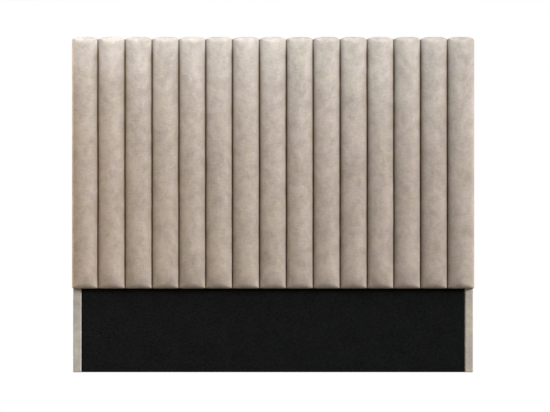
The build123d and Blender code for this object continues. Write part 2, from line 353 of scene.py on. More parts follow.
def seam_wall(net, column, inward):
    """The seam allowance behind the groove: two layers of velvet, face to face, back to the board."""
    wall = net[:, column].copy()
    for row in range(len(wall)):
        if row < FLAP_END:
            wall[row] += (0, -VELVET, 0)
        elif row <= TOP_END:
            wall[row] += (0, 0, -VELVET)
        elif row <= UNDER_START:
            wall[row, 1] = FACE_BOARD - CLEAR
            wall[row, 2] = min(max(wall[row, 2], CUSHION_BASE + VELVET + CLEAR), HEIGHT - TOP_FALL - VELVET)
        else:
            wall[row] += (0, 0, VELVET)
    wall[:, 0] += inward * 0.0002
    return wall


def net_normals(net):
    """Outward directions of a net of points, found from its own rows and columns."""
    normals = np.cross(np.gradient(net, axis=0), np.gradient(net, axis=1))
    normals /= np.linalg.norm(normals, axis=2, keepdims=True)
    return normals


def fold_depth(offset, height, number):
    """How much painted shade the velvet gets, from 0 on the crown to 1 at the stitching.

    It is painted into the colour for the shade in the fold of a seam, and low on the crown for the light from
    above that reaches it less. On the right flanks of the first channels and the left flanks of the last it
    reaches further, where the light from the side falls off.
    """
    away = PITCH / 2 - abs(offset)
    below_top = clamped((HEIGHT - TOP_FALL - height) / SHADE_FADES_BELOW_TOP)
    above_base = clamped((height - CUSHION_BASE) / SHADE_FADES_ABOVE_BASE)
    # The painted shade reaches wider on the right flanks of the first channels and, where the fill light
    # fades, on the left flanks of the last
    if offset > 0:
        fill_fading = 0
        reach = RIGHT_FLANK_SHADE + FIRST_MORE * clamped((8 - number) / 6)
    else:
        fill_fading = clamped((number - 5) / 10)
        reach = LEFT_FLANK_SHADE + LAST_MORE * fill_fading
    # The darkest painted shade at a seam: lighter low down and on the last channels
    deepest_shade = 0.9 - 0.54 * max(1.0 - height, 0) ** 2 - 0.1 * fill_fading
    seam = deepest_shade * math.exp(-((away / reach) ** 1.2))
    seam *= 0.08 + 0.92 * below_top
    seam *= 0.62 + 0.38 * above_base
    # Painted shade low on the crown for the fading light from above, most of all from 14 to 22 mm above the
    # lower edge
    low_crown_shade = 0.25 * smooth_share(CUSHION_BASE + LOW_SHADE_REACH - height, 0, 0.048)
    low_crown_shade *= smooth_share(height - CUSHION_BASE, 0.0, 0.014)
    return max(seam, low_crown_shade * smooth_share(away, 0.004, 0.022))


def looseness(offset, row):
    """How freely the velvet may move: 0 where it is stitched, stapled or wrapped, 1 on the crown."""
    side = smooth_share(PITCH / 2 - abs(offset), *STITCHES_HOLD)
    back = smooth_share(row, BACK_ROLL_END + 1, TOP_END)
    under = 1 - smooth_share(row, FRONT_END + 2, UNDER_START)
    return side * back * under


# The velvet covers


def build_channel(number, material):
    """One velvet channel: grooves, rolls, flap and turn-under, and on the end ones the wrapped side."""
    net, cloth = channel_net(number)
    side = {1: -1, CHANNELS: 1}.get(number, 0)
    # Painted shade by the seams and low on the crown, a little uneven along the seams; none on an end
    # channel's outer flank
    folds = np.zeros(net.shape[:2])
    for column, offset in enumerate(OFFSETS):
        if side * offset > 0:
            continue
        seam = number if offset > 0 else number - 1
        for row, height in enumerate(net[:, column, 2]):
            folds[row, column] = fold_depth(offset, height, number)
            if row >= TOP_END:
                folds[row, column] *= 1 + 0.22 * unevenness((seam * 0.5, 0, height), 6.1, 0.05)
    loose = np.array([[looseness(a, row) for a in OFFSETS] for row in range(len(net))])
    net = net - net_normals(net) * SLACK * loose[:, :, None]
    table, places = net, cloth
    if side != -1:
        table = np.concatenate([seam_wall(net, 0, 1)[:, None], table], axis=1)
        places = np.concatenate([places[:, :1] - (0.01, 0), places], axis=1)
        folds = np.concatenate([folds[:, :1], folds], axis=1)
        loose = np.concatenate([loose[:, :1], loose], axis=1)
    if side != 1:
        table = np.concatenate([table, seam_wall(net, -1, -1)[:, None]], axis=1)
        places = np.concatenate([places, places[:, -1:] + (0.01, 0)], axis=1)
        folds = np.concatenate([folds, folds[:, -1:]], axis=1)
        loose = np.concatenate([loose, loose[:, -1:]], axis=1)
    bm = bmesh.new()
    add_patch(bm, table, places, fold=folds, loose=loose)
    if side:
        close_side(bm, net, cloth, side)
    weld(bm)
    turn_outward(bm, lambda middle: abs(middle.z - 0.8) < 0.02)
    return piece(f"velvet_channel_{number:02d}_cover", bm, material)


def close_side(bm, net, cloth, side):
    """Adds the wrapped side, its corners and the flap on the back to an end channel."""
    outer = -1 if side > 0 else 0
    edge = net[:, outer]
    start = cloth[FRONT_START, outer, 0]
    along = cloth[FRONT_START:FRONT_END + 1, outer, 1]
    x = edge[0, 0]
    heights = list(edge[FRONT_START:FRONT_END + 1, 2])
    depths = [edge[FRONT_START, 1]] + list(edge[BACK_ROLL_END:TOP_END + 1, 1][::-1]) + [FLAP_BACK]
    flank = np.array([[(x, depth, height) for depth in depths] for height in heights])
    run = np.array(depths) - depths[0]
    layout = np.array([[(start + side * r, a) for r in run] for a in along])
    add_patch(bm, flank, layout)
    # Strips from the flank up to the edge of the top, down to the lower edge and in under the cushion
    upper, lower = layout[0, 1:-1], layout[-1, 1:-1]
    low = np.array([(x, depth, CUSHION_BASE) for depth in depths[1:-1]])
    turned = low - (side * SIDE_TURN_UNDER, 0, 0)
    for strip, strip_map in (
        ([edge[BACK_ROLL_END:TOP_END + 1][::-1], flank[0, 1:-1]], [upper - (0, 0.004), upper]),
        ([flank[-1, 1:-1], low], [lower, lower + (0, 0.004)]),
        ([low, turned], [lower + (0, 0.004), lower + (0, 0.01)]),
    ):
        add_patch(bm, np.array(strip), np.array(strip_map))
    # Gores that fill the four corners of the flank
    layer = bm.loops.layers.uv.verify()
    for points, place in (
        ([*edge[TOP_END:FRONT_START + 1][::-1], flank[0, 1]], layout[0, 0]),
        ([*edge[FLAP_END:BACK_ROLL_END + 1][::-1], flank[0, -2]], layout[0, -1]),
        ([*edge[FRONT_END:UNDER_START + 1], flank[-1, 1]], layout[-1, 0]),
        ([flank[-1, -1], (x, FLAP_BACK, CUSHION_BASE), low[-1], flank[-1, -2]], layout[-1, -1]),
    ):
        face = bm.faces.new([bm.verts.new(p) for p in points])
        for loop in face.loops:
            loop[layer].uv = place
    # The flap down the back of the stile
    across = net[0, [c for c, a in enumerate(OFFSETS) if side * a >= SIDE_FLAP_FROM], 0]
    below = [h for h in heights if h <= net[0, outer, 2] + 0.00001] + [CUSHION_BASE]
    flap = np.array([[(a, FLAP_BACK, h) for a in across] for h in below])
    spread = start + side * (run[-1] + np.abs(across - x))
    add_patch(bm, flap, np.array([[(s, 0.3 + HEIGHT - h) for s in spread] for h in below]))


def per_vertex(source, title, width=1):
    """One value, or one row of values, for every vertex."""
    found = np.zeros(len(source) * width, dtype=np.float32)
    source.foreach_get(title, found)
    return found.reshape(-1, width) if width > 1 else found


def pin_velvet(cover):
    """Readies a cover for the simulation, held at its stitched and stapled edges and pushed by the foam."""
    loose = per_vertex(cover.data.attributes["loose"].data, "value")
    stitched = cover.vertex_groups.new(name="stitched")
    for index, freedom in enumerate(loose):
        stitched.add([index], float(1 - freedom), "REPLACE")
    cloth = cover.modifiers.new("swelling", "CLOTH")
    for title, value in {
        "quality": 6, "mass": 0.3, "tension_stiffness": 18, "compression_stiffness": 12, "shear_stiffness": 6,
        "bending_stiffness": 5, "vertex_group_mass": "stitched", "pin_stiffness": 1, "use_pressure": True,
        "uniform_pressure_force": 4, "shrink_min": -0.002,
    }.items():
        setattr(cloth.settings, title, value)
    cloth.settings.effector_weights.gravity = 0
    cloth.collision_settings.use_collision = False
    cloth.collision_settings.use_self_collision = False
    cloth.point_cache.frame_start = 1
    cloth.point_cache.frame_end = SIM_FRAMES


def swell(covers):
    """One cloth simulation for all covers. What it moves outwards and aside is kept within the slack."""
    for cover in covers:
        pin_velvet(cover)
    scene = bpy.context.scene
    for frame_number in range(1, SIM_FRAMES + 1):
        scene.frame_set(frame_number)
    graph = bpy.context.evaluated_depsgraph_get()
    for cover in covers:
        start = per_vertex(cover.data.vertices, "co", 3)
        ways = per_vertex(cover.data.vertices, "normal", 3)
        loose = per_vertex(cover.data.attributes["loose"].data, "value")
        change = per_vertex(cover.evaluated_get(graph).data.vertices, "co", 3) - start
        out = (change * ways).sum(1)
        aside = change - ways * out[:, None]
        reach = np.linalg.norm(aside, axis=1) + 1e-9
        aside *= (np.minimum(reach, SLACK * loose) / reach)[:, None]
        out = SLACK * (1.25 + 0.4 * np.tanh(out / (1.6 * SLACK))) * loose
        cover.modifiers.remove(cover.modifiers["swelling"])
        cover.data.vertices.foreach_set("co", (start + aside + ways * out[:, None]).ravel())
        cover.data.update()
    scene.frame_set(1)


# Other soft pieces


def build_foam(number, material):
    """One foam strip, crowned in front, drawn in at both grooves, rolled at both ends, flat on the board."""
    net, _ = channel_net(number)
    inner = net - net_normals(net) * (VELVET + CLEAR)
    table = inner[TOP_END:UNDER_START + 1].copy()
    table[:, :, 0] = np.clip(table[:, :, 0], net[0, 0, 0] + VELVET + CLEAR, net[0, -1, 0] - VELVET - CLEAR)
    table[:, :, 1] = np.minimum(table[:, :, 1], FACE_BOARD)
    back_row = table[:1].copy()
    back_row[:, :, 1] = FACE_BOARD
    table = np.concatenate([back_row, table])
    left = table[:, :1].copy()
    right = table[:, -1:].copy()
    # On the board both sides begin and end level
    level_rows = 5
    for edge in (left, right):
        edge[:, :, 1] = FACE_BOARD
        edge[:level_rows, :, 2] = edge[0, :, 2]
        edge[-UNDER_ROWS:, :, 2] = edge[-1, :, 2]
    bm = bmesh.new()
    add_patch(bm, np.concatenate([left, table, right], axis=1))
    add_patch(bm, np.concatenate([left, right], axis=1))
    weld(bm)
    return piece(f"foam_strip_{number:02d}", bm, material)


def build_top_padding(material):
    """The strip of foam on the top rail, pressed down by the velvet at every groove."""
    inset = VELVET + CLEAR
    end = HALF_WIDTH - inset
    places = [(-end, PITCH / 2 - inset)]
    for number in range(1, CHANNELS + 1):
        for offset in OFFSETS:
            if abs(channel_middle(number) + offset) < end - CLEAR:
                places.append((channel_middle(number) + offset, offset))
    places.append((end, PITCH / 2 - inset))
    steps = 5
    columns = []
    for x, offset in places:
        top = HEIGHT - inset - top_fall(offset)
        radius = BACK_ROLL - inset
        radius = min(radius, max(TIGHT_ROLL / 2, radius - top_fall(offset)))
        turn_y = FLAP_BACK - inset - radius
        line = [(x, FACE_BOARD, FRAME_TOP), (x, FACE_BOARD, (FRAME_TOP + top) / 2)]
        line += [(x, FACE_BOARD + (turn_y - FACE_BOARD) * step / steps, top) for step in range(steps)]
        for step in range(steps + 1):
            turn = math.pi / 2 * step / steps
            line.append((x, turn_y + radius * math.sin(turn), top - radius * (1 - math.cos(turn))))
        columns.append(line + [(x, FLAP_BACK - inset, FRAME_TOP)])
    table = np.array(columns).transpose(1, 0, 2)
    bm = bmesh.new()
    add_patch(bm, np.concatenate([table, table[:1]]))
    for column in (0, -1):
        bm.faces.new([bm.verts.new(p) for p in table[:, column]])
    weld(bm)
    return piece("top_padding_strip", bm, material)


def build_side_padding(name, side, material):
    """Thin wadding on the outside of a stile, soft along its edges."""
    inset, short, soft_edge = 0.0002, 0.0005, 0.006
    depths = np.linspace(FACE_BOARD + inset, TIMBER_BACK - inset, 15)
    heights = np.linspace(CUSHION_BASE + VELVET + short, FRAME_TOP - short, 130)
    table = np.zeros((len(heights), len(depths), 3))
    flat = np.zeros_like(table)
    for row, z in enumerate(heights):
        for column, y in enumerate(depths):
            edge = min(y - depths[0], depths[-1] - y, z - heights[0], heights[-1] - z)
            loft = 0.62 + 0.34 * min(1, edge / soft_edge) + 0.04 * unevenness((y, 0, z), 3.1, 0.03)
            table[row, column] = (side * (FRAME_HALF + WADDING * loft), y, z)
            flat[row, column] = (side * (FRAME_HALF + HAIR), y, z)
    bm = bmesh.new()
    add_patch(bm, table)
    add_patch(bm, flat)
    close_rim(bm, table, flat)
    weld(bm)
    return piece(f"{name}_side_wadding", bm, material)


def foot_outline():
    """A foot's wrap seen from above, as (x, y, outward direction), and where in it the front corner ends."""
    front = FACE_BOARD - VELVET
    middle = (front + FLAP_BACK) / 2
    outline = []
    for share in np.linspace(0, 1, 6):
        outline.append((FOOT_INNER + (FOOT_HALF - FOOT_ROUND - FOOT_INNER) * share, front, (0, -1)))
    for turn in np.linspace(0, math.pi / 2, 6)[1:]:
        out = (math.sin(turn), -math.cos(turn))
        x = FOOT_HALF - FOOT_ROUND + FOOT_ROUND * out[0]
        outline.append((x, front + FOOT_ROUND + FOOT_ROUND * out[1], out))
    corner_end = len(outline) - 1
    for share in np.linspace(0, 1, 6)[1:]:
        outline.append((FOOT_HALF, front + FOOT_ROUND + (middle - front - FOOT_ROUND) * share, (1, 0)))
    outline += [(x, 2 * middle - y, (out[0], -out[1])) for x, y, out in reversed(outline[:-1])]
    return outline, corner_end


def build_foot_wrap(name, side, material):
    """The velvet wrapped round a foot: front, outer side, back and underside."""
    outline, corner_end = foot_outline()
    last = len(outline) - 1
    tuck, pull_in = 0.0004, 0.00025
    levels = [(z, 0.0) for z in np.linspace(CUSHION_BASE - tuck, 0.003, 45)]
    for turn in np.linspace(0, math.pi / 2, 6):
        levels.append((FOOT_ROUND * (1 - math.sin(turn)), FOOT_ROUND * (1 - math.cos(turn))))
    table = np.zeros((len(levels), len(outline), 3))
    cloth = np.zeros((len(levels), len(outline), 2))
    run = running_length(np.array([(x, y) for x, y, _ in outline]))
    for column, (x, y, out) in enumerate(outline):
        for row, (z, inset) in enumerate(levels):
            pull = pull_in * abs(unevenness((x, y, z), 7.7 + side, 0.05)) * min(1, z / 0.01)
            if column in (0, last):
                pull = 0
            table[row, column] = (side * (x - out[0] * (inset + pull)), y - out[1] * (inset + pull), z)
            cloth[row, column] = (run[column] + 0.61 * side, 1.9 - z)
    bm = bmesh.new()
    add_patch(bm, table, cloth)
    # The underside, turned in below the foot and meeting the outer side point by point
    rim = table[-1]
    depths = np.array([y for _, y, _ in outline[corner_end:last - corner_end + 1]])
    shares = (depths - depths[0]) / (depths[-1] - depths[0])
    below = range(corner_end + 1)
    sheet = np.array([[rim[i] + (rim[last - i] - rim[i]) * share for share in shares] for i in below])
    sheet[-1] = rim[corner_end:last - corner_end + 1]
    add_patch(bm, sheet, np.array([[cloth[-1, i] + (0, 0.06 * share) for share in shares] for i in below]))
    weld(bm)
    turn_outward(bm, lambda middle: abs(middle.y - outline[0][1]) < 0.001)
    made = piece(f"{name}_foot_wrap", bm, material)
    thicken(made, VELVET)
    return made


def build_black_panel(material):
    """Black cloth stretched over the lower board and turned under the bottom rail."""
    front = FACE_BOARD - PANEL_CLOTH
    under = FRAME_BASE - PANEL_CLOTH
    radius = PANEL_CLOTH
    face_rows = 60
    slack = 0.00018
    line = [(front, z) for z in np.linspace(CUSHION_BASE - CLEAR, under + radius, face_rows)]
    for turn in np.linspace(0, math.pi / 2, 4)[1:]:
        line.append((front + radius * (1 - math.cos(turn)), under + radius * (1 - math.sin(turn))))
    line += [(y, under) for y in np.linspace(front + radius, FACE_BOARD + PANEL_TURN_UNDER, 6)[1:]]
    widths = np.linspace(-FOOT_INNER, FOOT_INNER, 220)
    table = np.array([[(x, y, z) for x in widths] for y, z in line])
    cloth = np.array([[(x, -run) for x in widths] for run in running_length(np.array(line))])
    for row, (_, z) in enumerate(line[:face_rows]):
        for column, x in enumerate(widths):
            wave = slack * unevenness((x, 0, z * 2.5), 5.2, 0.09)
            table[row, column, 1] -= max(wave, 0) * min(1, z / 0.03, (CUSHION_BASE - z) / 0.01)
    bm = bmesh.new()
    add_patch(bm, table, cloth)
    weld(bm)
    turn_outward(bm, lambda middle: True)
    made = piece("black_panel_cloth", bm, material)
    thicken(made, PANEL_CLOTH)
    return made


def back_staple_places():
    """Where the staples in the back are driven, as (x, z)."""
    reach = FRAME_HALF - BACK_MARGIN - STAPLE_IN
    low = FRAME_BASE + BACK_MARGIN + STAPLE_IN
    high = FRAME_TOP - BACK_MARGIN - STAPLE_IN
    places = [(channel_middle(number), high) for number in range(1, CHANNELS + 1)]
    places += [(-reach + 2 * reach * number / 8, low) for number in range(1, 8)]
    for number in range(1, 5):
        places += [(side * reach, low + (high - low) * number / 5) for side in (-1, 1)]
    return places


def close_to(low, high, step, near):
    """Evenly spaced values with finer ones on both sides of the given places."""
    found = list(np.arange(low, high, step)) + [high]
    for value in near:
        for shift in (0, 0.0025, 0.005, 0.008, 0.012):
            found += [value - shift, value + shift]
    found = sorted(v for v in found if low <= v <= high)
    kept = [found[0]]
    for value in found[1:]:
        if value - kept[-1] > 0.0015:
            kept.append(value)
    kept[-1] = high
    return kept


def build_back_cloth(material):
    """The thin cloth that closes the back, drawn down at every staple and slack between them."""
    edge = FRAME_HALF - BACK_MARGIN
    low = FRAME_BASE + BACK_MARGIN
    high = FRAME_TOP - BACK_MARGIN
    step = 0.020
    hem, ridge = 0.012, 0.00022
    loft, lowest, slack = 0.0007, 0.00012, 0.0005
    dent, dent_reach = 0.0005, 0.009
    spots = np.array(back_staple_places())
    widths = close_to(-edge, edge, step, sorted(set(spots[:, 0])))
    heights = close_to(low, high, step, sorted(set(spots[:, 1])))
    table = np.zeros((len(heights), len(widths), 3))
    inner = np.zeros_like(table)
    for row, z in enumerate(heights):
        for column, x in enumerate(widths):
            away = np.min(np.hypot(spots[:, 0] - x, spots[:, 1] - z))
            rim = min(edge - abs(x), z - low, high - z)
            pressed = math.exp(-((away / dent_reach) ** 2))
            hang = slack * unevenness((x, 0, z), 9.3, 0.16) * min(1, rim / 0.05)
            turned = math.cos(math.pi * min(1, abs(rim - hem / 2) / (hem / 2))) if rim < hem else -1
            level = loft - dent * pressed + max(hang, -0.0002) + ridge * turned * (1 - pressed)
            level *= min(1, 0.45 + rim / 0.0025)
            table[row, column] = (x, FLAP_BACK + max(level, lowest), z)
            inner[row, column] = (x, FLAP_BACK + HAIR / 2, z)
    cloth = table[:, :, ::2]
    bm = bmesh.new()
    add_patch(bm, table, cloth)
    add_patch(bm, inner, cloth)
    close_rim(bm, table, inner)
    weld(bm)
    return piece("back_closing_cloth", bm, material)


# Materials


def new_material(name):
    material = bpy.data.materials.new(name)
    material.use_nodes = True
    material.node_tree.nodes.clear()
    return material, material.node_tree


def place_node(tree, kind, **settings):
    node = tree.nodes.new(kind)
    for key, value in settings.items():
        setattr(node, key, value)
    return node


def join_or_set(tree, socket, source):
    """An output is joined to the socket, and a value is set on it."""
    if isinstance(source, bpy.types.NodeSocket):
        tree.links.new(source, socket)
    else:
        socket.default_value = source


def feed(tree, node, **sources):
    """Joins or sets the sockets of a node by their names."""
    for title, source in sources.items():
        join_or_set(tree, node.inputs[title.replace("_", " ")], source)


def sum_up(tree, operation, *sources):
    """A Math node on two or three sources."""
    node = place_node(tree, "ShaderNodeMath", operation=operation)
    for socket, source in zip(node.inputs, sources):
        join_or_set(tree, socket, source)
    return node.outputs[0]


def swing(tree, pattern, weight, base=None):
    """A pattern's swing about its middle value, times a weight, on top of a base where there is one."""
    swung = sum_up(tree, "SUBTRACT", pattern, 0.5)
    if base is None:
        return sum_up(tree, "MULTIPLY", swung, weight)
    return sum_up(tree, "MULTIPLY_ADD", swung, weight, base)


def ramp(tree, value, start, end, low=0.0, high=1.0, kind="LINEAR"):
    """From low to high while the value goes from start to end."""
    node = place_node(tree, "ShaderNodeMapRange", interpolation_type=kind)
    feed(tree, node, Value=value, From_Min=start, From_Max=end, To_Min=low, To_Max=high)
    return node.outputs["Result"]


def laid(tree, place, **lay):
    """The place, turned or scaled for a pattern."""
    node = place_node(tree, "ShaderNodeMapping")
    feed(tree, node, Vector=place, **lay)
    return node.outputs[0]


def stretched(tree, place, across, along):
    """The place in units of across by along, for a pattern of that size."""
    return laid(tree, place, Scale=(1 / across, 1 / along, 1 / across))


def sized(tree, place, share, size):
    """The place scaled by a share over a size that a group is given."""
    node = place_node(tree, "ShaderNodeVectorMath", operation="SCALE")
    tree.links.new(place, node.inputs[0])
    tree.links.new(sum_up(tree, "DIVIDE", share, size), node.inputs["Scale"])
    return node.outputs[0]


def clouds(tree, place, detail=2.0, rough=0.5, warp=0.0):
    node = place_node(tree, "ShaderNodeTexNoise")
    feed(tree, node, Vector=place, Scale=1.0, Detail=detail, Roughness=rough, Distortion=warp)
    return node.outputs[0]


def cells(tree, place, scale=1.0, scatter=1.0):
    """How far a place is from the middle of its cell; without scatter the cells stand in rows."""
    node = place_node(tree, "ShaderNodeTexVoronoi", feature="F1")
    feed(tree, node, Vector=place, Scale=scale, Randomness=scatter)
    return node.outputs["Distance"]


def blend_colours(tree, share, first, second):
    node = place_node(tree, "ShaderNodeMix", data_type="RGBA", clamp_factor=True)
    for index, source in ((0, share), (6, first), (7, second)):
        join_or_set(tree, node.inputs[index], (*source, 1) if isinstance(source, tuple) else source)
    return node.outputs[2]


def start_group(name, inputs, outputs):
    """An empty node group with value outputs and the given inputs, as (name, value), or None for a place."""
    tree = bpy.data.node_groups.new(name, "ShaderNodeTree")
    for title, value in inputs:
        kind = "NodeSocketVector" if value is None else "NodeSocketFloat"
        socket = tree.interface.new_socket(title, in_out="INPUT", socket_type=kind)
        if value is not None:
            socket.default_value = value
    for title in outputs:
        tree.interface.new_socket(title, in_out="OUTPUT", socket_type="NodeSocketFloat")
    return tree, place_node(tree, "NodeGroupInput").outputs, place_node(tree, "NodeGroupOutput").inputs


def make_nap_group():
    """Brushed pile: soft patches where the nap lies differently, short streaks, specks and fine pile."""
    inputs = (("Cloth", None), ("Patches", 1.0), ("Streaks", 1.0), ("Specks", 1.0), ("Pile", 1.0))
    tree, given, result = start_group("brushed_nap", inputs, ("Shade", "Tint", "Height"))
    cloth = given["Cloth"]
    wide = clouds(tree, stretched(tree, cloth, 0.085, 0.125), 2.0, 0.55, 0.7)
    middle = clouds(tree, stretched(tree, cloth, 0.026, 0.034), 2.0, 0.5, 0.5)
    small = clouds(tree, stretched(tree, cloth, 0.0085, 0.0075), 1.0)
    streak = clouds(tree, stretched(tree, cloth, 0.024, 0.0042), 1.0)
    fine = clouds(tree, stretched(tree, cloth, 0.0016, 0.0020), 2.0)
    dots = ramp(tree, cells(tree, stretched(tree, cloth, 0.017, 0.014)), 0.0, 0.30, 1.0, 0.0, "SMOOTHSTEP")
    crowd = ramp(tree, clouds(tree, stretched(tree, cloth, 0.050, 0.070), 0.0), 0.47, 0.60, kind="SMOOTHSTEP")
    dots = sum_up(tree, "MULTIPLY", sum_up(tree, "MULTIPLY", dots, given["Specks"]), crowd)
    patch = swing(tree, small, 0.42, swing(tree, middle, 0.75, swing(tree, wide, 0.75)))
    shade = sum_up(tree, "MULTIPLY", patch, given["Patches"])
    shade = sum_up(tree, "MULTIPLY_ADD", swing(tree, streak, given["Streaks"]), 0.32, shade)
    shade = sum_up(tree, "MULTIPLY_ADD", dots, 0.17, shade)
    shade = sum_up(tree, "MULTIPLY_ADD", swing(tree, fine, given["Pile"]), 0.2, shade)
    tree.links.new(sum_up(tree, "ADD", shade, 0.5), result["Shade"])
    tree.links.new(clouds(tree, stretched(tree, cloth, 0.060, 0.080), 2.0), result["Tint"])
    height = sum_up(tree, "MULTIPLY_ADD", small, 0.25, sum_up(tree, "MULTIPLY", fine, 0.35))
    height = sum_up(tree, "MULTIPLY_ADD", streak, 0.4, height)
    tree.links.new(sum_up(tree, "MULTIPLY_ADD", dots, 0.8, height), result["Height"])
    return tree


def make_fibre_group():
    """Matted fibres, as in felt, wadding and pressed board: fine flecks and a slow unevenness."""
    inputs = (("Place", None), ("Fleck Size", 0.002), ("Flecks", 1.0), ("Clouds", 1.0))
    tree, given, result = start_group("matted_fibres", inputs, ("Shade", "Height"))
    fleck = clouds(tree, sized(tree, given["Place"], 1.0, given["Fleck Size"]), 3.0, 0.6, 1.2)
    slow = clouds(tree, stretched(tree, given["Place"], 0.07, 0.07), 2.0)
    shade = sum_up(tree, "ADD", swing(tree, fleck, given["Flecks"]), swing(tree, slow, given["Clouds"]))
    tree.links.new(sum_up(tree, "ADD", shade, 0.5), result["Shade"])
    tree.links.new(fleck, result["Height"])
    return tree


def make_grain_group():
    """Softwood: growth rings drawn out along the piece, and fine pores."""
    inputs = (("Place", None), ("Ring Width", 0.006), ("Pores", 1.0))
    tree, given, result = start_group("wood_grain", inputs, ("Rings", "Pores"))
    place = given["Place"]
    slow = clouds(tree, stretched(tree, place, 0.09, 0.09), 1.0)
    warped = place_node(tree, "ShaderNodeVectorMath", operation="MULTIPLY_ADD")
    for socket, source in zip(warped.inputs, (slow, (0.035, 0.035, 0.0), place)):
        join_or_set(tree, socket, source)
    # At scale 1 the wave pattern draws a ring every 0.314 units
    rings = sized(tree, warped.outputs[0], 0.314, given["Ring Width"])
    ring = place_node(tree, "ShaderNodeTexWave", wave_type="RINGS", rings_direction="Z", wave_profile="SAW")
    feed(tree, ring, Vector=rings, Scale=1.0, Distortion=1.2, Detail=2.0, Detail_Scale=1.0)
    pores = clouds(tree, laid(tree, place, Scale=(900.0, 900.0, 45.0)), 2.0)
    tree.links.new(ring.outputs["Fac"], result["Rings"])
    tree.links.new(sum_up(tree, "MULTIPLY", pores, given["Pores"]), result["Pores"])
    return tree


def use_group(tree, group, **sources):
    node = place_node(tree, "ShaderNodeGroup", node_tree=group)
    feed(tree, node, **sources)
    return node.outputs


def finish_surface(tree, colour, rough, height, lift, strength, **fixed):
    """The shader of a material: its colour, roughness and relief, and its fixed values on its own sockets."""
    bump = place_node(tree, "ShaderNodeBump")
    feed(tree, bump, Height=height, Distance=lift, Strength=strength)
    shader = place_node(tree, "ShaderNodeBsdfPrincipled")
    feed(tree, shader, Base_Color=colour, Roughness=rough, Normal=bump.outputs[0], **fixed)
    tree.links.new(shader.outputs[0], place_node(tree, "ShaderNodeOutputMaterial").inputs["Surface"])


NAP = make_nap_group()
FIBRES = make_fibre_group()
GRAIN = make_grain_group()


def cloth_place(tree):
    return place_node(tree, "ShaderNodeUVMap", uv_map="cloth").outputs[0]


def solid_place(tree):
    return place_node(tree, "ShaderNodeTexCoord").outputs["Object"]


def make_velvet(name, lift=(1, 1, 1)):
    """Brushed taupe velvet with painted shade by the seams and low on the crown; the lift paints the feet
    lighter and cooler for the light that falls on them.
    """
    material, tree = new_material(name)

    # Each colour times the lift: a foot's copy is painted lighter and cooler for the light that falls on it
    def shade(red, green, blue):
        return (red * lift[0], green * lift[1], blue * lift[2])

    nap = use_group(tree, NAP, Cloth=cloth_place(tree))
    rosy = blend_colours(tree, nap["Shade"], shade(0.334, 0.262, 0.215), shade(0.630, 0.501, 0.419))
    sandy = blend_colours(tree, nap["Shade"], shade(0.331, 0.264, 0.201), shade(0.619, 0.502, 0.394))
    colour = blend_colours(tree, ramp(tree, nap["Tint"], 0.34, 0.66), rosy, sandy)
    # Painted shade: towards a dark greyish brown by the seams and low on the crown, and at the stitching
    # towards an orange brown for the warm light bounced in the grooves
    fold = place_node(tree, "ShaderNodeAttribute", attribute_name="fold").outputs["Fac"]
    colour = blend_colours(tree, fold, colour, (0.146, 0.109, 0.080))
    colour = blend_colours(tree, ramp(tree, fold, 0.5, 1.1), colour, (0.190, 0.088, 0.010))
    finish_surface(
        tree, colour, 0.85, nap["Height"], 0.0006, 0.35,
        Sheen_Weight=0.08, Sheen_Roughness=0.4, Sheen_Tint=(1.0, 0.94, 0.84, 1), Specular_IOR_Level=0.1,
    )
    return material


def make_matted(name, place, flecks, dark, light, rough, relief, **fixed):
    """Felt, wadding or pressed board, from the flecks of its fibres, its colours and its relief."""
    material, tree = new_material(name)
    fibres = use_group(tree, FIBRES, Place=place(tree), **flecks)
    colour = blend_colours(tree, fibres["Shade"], dark, light)
    finish_surface(tree, colour, rough, fibres["Height"], *relief, **fixed)
    return material


def make_back_cloth():
    """Thin spun cloth, bonded at evenly set points."""
    material, tree = new_material("spun_back_cloth")
    spun = use_group(tree, FIBRES, Place=cloth_place(tree), Fleck_Size=0.0022, Flecks=0.9, Clouds=0.4)
    points = cells(tree, stretched(tree, cloth_place(tree), 0.0016, 0.0016), scatter=0.0)
    dimple = sum_up(tree, "MULTIPLY_ADD", points, 0.5, spun["Height"])
    colour = blend_colours(tree, spun["Shade"], (0.014, 0.014, 0.015), (0.046, 0.046, 0.049))
    finish_surface(tree, colour, 0.8, dimple, 0.0003, 0.5, Specular_IOR_Level=0.3)
    return material


def make_foam():
    """Cream foam with open cells."""
    material, tree = new_material("cream_foam")
    place = solid_place(tree)
    open_cells = cells(tree, place, 1100.0)
    soft = use_group(tree, FIBRES, Place=place, Fleck_Size=0.003, Flecks=0.5, Clouds=0.6)
    share = sum_up(tree, "MULTIPLY_ADD", open_cells, -0.35, soft["Shade"])
    colour = blend_colours(tree, share, (0.58, 0.51, 0.33), (0.86, 0.83, 0.66))
    finish_surface(tree, colour, 0.95, open_cells, 0.0005, 0.6, Specular_IOR_Level=0.1)
    return material


def make_timber(name, turn, light, dark):
    """Planed softwood whose grain runs along the piece: upright, or turned to lie across the bed."""
    material, tree = new_material(name)
    place = laid(tree, solid_place(tree), Rotation=(0, turn, 0))
    grain = use_group(tree, GRAIN, Place=place, Ring_Width=0.006)
    wood = blend_colours(tree, grain["Rings"], light, dark)
    colour = blend_colours(tree, sum_up(tree, "MULTIPLY", grain["Pores"], 0.35), wood, (0.30, 0.16, 0.07))
    worn = swing(tree, clouds(tree, stretched(tree, place, 0.05, 0.05), 3.0), 0.35)
    colour = blend_colours(tree, worn, colour, (0.36, 0.25, 0.15))
    rough = sum_up(tree, "MULTIPLY_ADD", grain["Pores"], 0.25, 0.55)
    finish_surface(tree, colour, rough, grain["Pores"], 0.0004, 0.4, Specular_IOR_Level=0.35)
    return material


